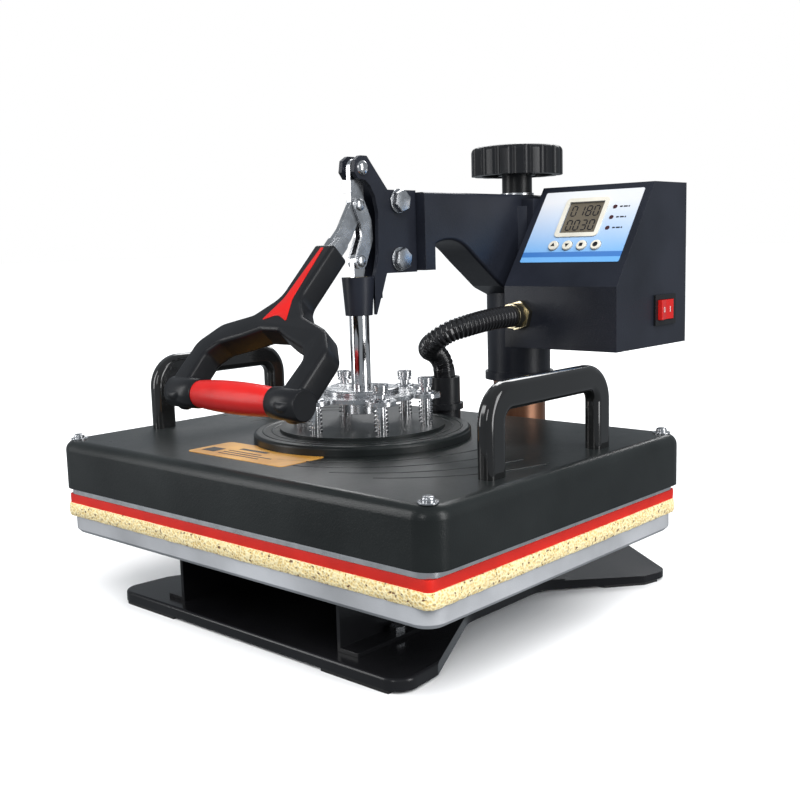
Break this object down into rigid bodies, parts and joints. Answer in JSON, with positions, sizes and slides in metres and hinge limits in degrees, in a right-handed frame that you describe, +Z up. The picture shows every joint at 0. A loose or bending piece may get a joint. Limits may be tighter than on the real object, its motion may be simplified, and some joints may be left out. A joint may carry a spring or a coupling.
{
  "type": "heat press",
  "caption": "Swing-away heat press: a sprung heated platen on a toggle lever and swing arm closes on a padded lower platen; a digital control box sits beside the column.",
  "frame": {"origin": "centre of the whole press's footprint, on the surface that the rubber feet stand on", "axes": "+Z up, +X to the operator's right, +Y to the back, where the column stands"},
  "size_m": [0.391, 0.41, 0.3585],
  "materials": {
    "black_enamel": "gloss black enamel on sheet steel",
    "blue_black_coat": "satin blue-black powder coat",
    "cover_black": "satin black enamel, lightly embossed",
    "zinc": "bright zinc plate",
    "chrome": "polished chrome",
    "copper_post": "greased red-brown steel",
    "aluminium": "machined aluminium",
    "grey_platen": "light grey cast and machined aluminium",
    "red_silicone": "matt red silicone rubber",
    "foam": "yellow silicone sponge with dark specks",
    "rubber": "black rubber",
    "black_plastic": "satin black moulded plastic",
    "gloss_black_plastic": "high-gloss black moulded plastic",
    "red_plastic": "red moulded plastic",
    "beige_plastic": "light beige moulded plastic",
    "panel_print": "printed film, light grey fading to blue",
    "label_print": "printed amber film",
    "display": "grey liquid crystal window",
    "led": "dark red lamp lens",
    "brass": "nickel-plated brass",
    "circuit": "green circuit board",
    "insulation": "mineral fibre board",
    "hose_plastic": "black corrugated plastic hose"
  },
  "bodies": {
    "base": {"base_pan": "black_enamel", "rubber_feet": "rubber", "platen_support": "black_enamel", "base_bolts": "zinc", "lower_platen": "grey_platen", "foam_pad": "foam", "red_mat": "red_silicone", "inner_post": "copper_post", "post_nut": "zinc"},
    "carrier": {"thrust_rings": "zinc"},
    "pressure_knob": {"knob": "black_plastic", "pressure_screw": "zinc"},
    "arm": {"swing_arm": "blue_black_coat", "sleeve_collar": "blue_black_coat", "cheek_plates": "blue_black_coat", "plunger_guide": "blue_black_coat", "guide_bush": "brass", "cheek_bolts": "zinc", "top_pivot_pin": "zinc", "box_shell": "blue_black_coat", "box_back": "blue_black_coat", "power_inlet": "black_plastic", "box_mount": "blue_black_coat", "control_panel": "panel_print", "display_frame": "beige_plastic", "display_glass": "display", "circuit_board": "circuit", "indicator_leds": "led", "rocker_bezel": "black_plastic", "hose_gland": "brass", "hose": "hose_plastic"},
    "handle": {"lever": "zinc", "handle_yoke": "black_plastic", "handle_inlay": "red_plastic", "grip_tube": "red_plastic", "grip_rod": "zinc"},
    "link": {"toggle_links": "zinc", "middle_pivot_pin": "zinc", "bottom_rivets": "zinc"},
    "head": {"plunger_shaft": "chrome", "spider_plate": "zinc", "shaft_hub": "zinc"},
    "platen": {"heat_plate": "aluminium", "heating_element": "zinc", "insulation": "insulation", "heat_cover": "cover_black", "cover_washers": "zinc", "cover_screws": "zinc", "spring_plate": "cover_black", "suspension_bolts": "chrome", "suspension_springs": "chrome", "side_handles": "gloss_black_plastic", "hose_boss": "black_plastic", "cover_label": "label_print"},
    "rocker": {"rocker": "red_plastic"},
    "button_1": {"button_1": "beige_plastic"},
    "button_2": {"button_2": "beige_plastic"},
    "button_3": {"button_3": "beige_plastic"},
    "button_4": {"button_4": "beige_plastic"}
  },
  "joints": [
    {"name": "height_adjust", "type": "slide", "parent": "base", "child": "carrier", "axis": [0, 0, 1], "range_m": [0, 0.008]},
    {"name": "knob_turn", "type": "hinge", "parent": "carrier", "child": "pressure_knob", "pos_m": [0, 0.15, 0.34], "axis": [0, 0, 1], "range_deg": [0, 1440]},
    {"name": "arm_swing", "type": "hinge", "parent": "carrier", "child": "arm", "pos_m": [0, 0.15, 0.25], "axis": [0, 0, 1], "range_deg": [-110, 110]},
    {"name": "handle_pull", "type": "hinge", "parent": "arm", "child": "handle", "pos_m": [0, -0.057, 0.333], "axis": [-1, 0, 0], "range_deg": [0, 95]},
    {"name": "link_swing", "type": "hinge", "parent": "handle", "child": "link", "pos_m": [0, -0.057, 0.306], "axis": [-1, 0, 0], "range_deg": [-135.5, 0]},
    {"name": "head_lift", "type": "slide", "parent": "arm", "child": "head", "axis": [0, 0, 1], "range_m": [0, 0.0392], "deforming": ["hose"]},
    {"name": "platen_float", "type": "slide", "parent": "head", "child": "platen", "axis": [0, 0, 1], "range_m": [0, 0.003], "stiffness_N_per_m": 20000, "springref_m": -0.004, "deforming": ["suspension_springs"]},
    {"name": "rocker_tip", "type": "hinge", "parent": "arm", "child": "rocker", "pos_m": [0.1365, 0.1655, 0.2165], "axis": [0, 0, 1], "range_deg": [-14, 0]},
    {"name": "button_1_press", "type": "slide", "parent": "arm", "child": "button_1", "axis": [0, 0.8103, -0.5861], "range_m": [0, 0.0008], "stiffness_N_per_m": 300},
    {"name": "button_2_press", "type": "slide", "parent": "arm", "child": "button_2", "axis": [0, 0.8103, -0.5861], "range_m": [0, 0.0008], "stiffness_N_per_m": 300},
    {"name": "button_3_press", "type": "slide", "parent": "arm", "child": "button_3", "axis": [0, 0.8103, -0.5861], "range_m": [0, 0.0008], "stiffness_N_per_m": 300},
    {"name": "button_4_press", "type": "slide", "parent": "arm", "child": "button_4", "axis": [0, 0.8103, -0.5861], "range_m": [0, 0.0008], "stiffness_N_per_m": 300}
  ],
  "couplings": [
    {"joint": "knob_turn", "follows": "height_adjust", "rad_per_m": 3141.6},
    {"joint": "link_swing", "follows": "handle_pull", "ratio": -1.4192},
    {"joint": "head_lift", "follows": "handle_pull", "m_per_rad": 0.023579}
  ]
}
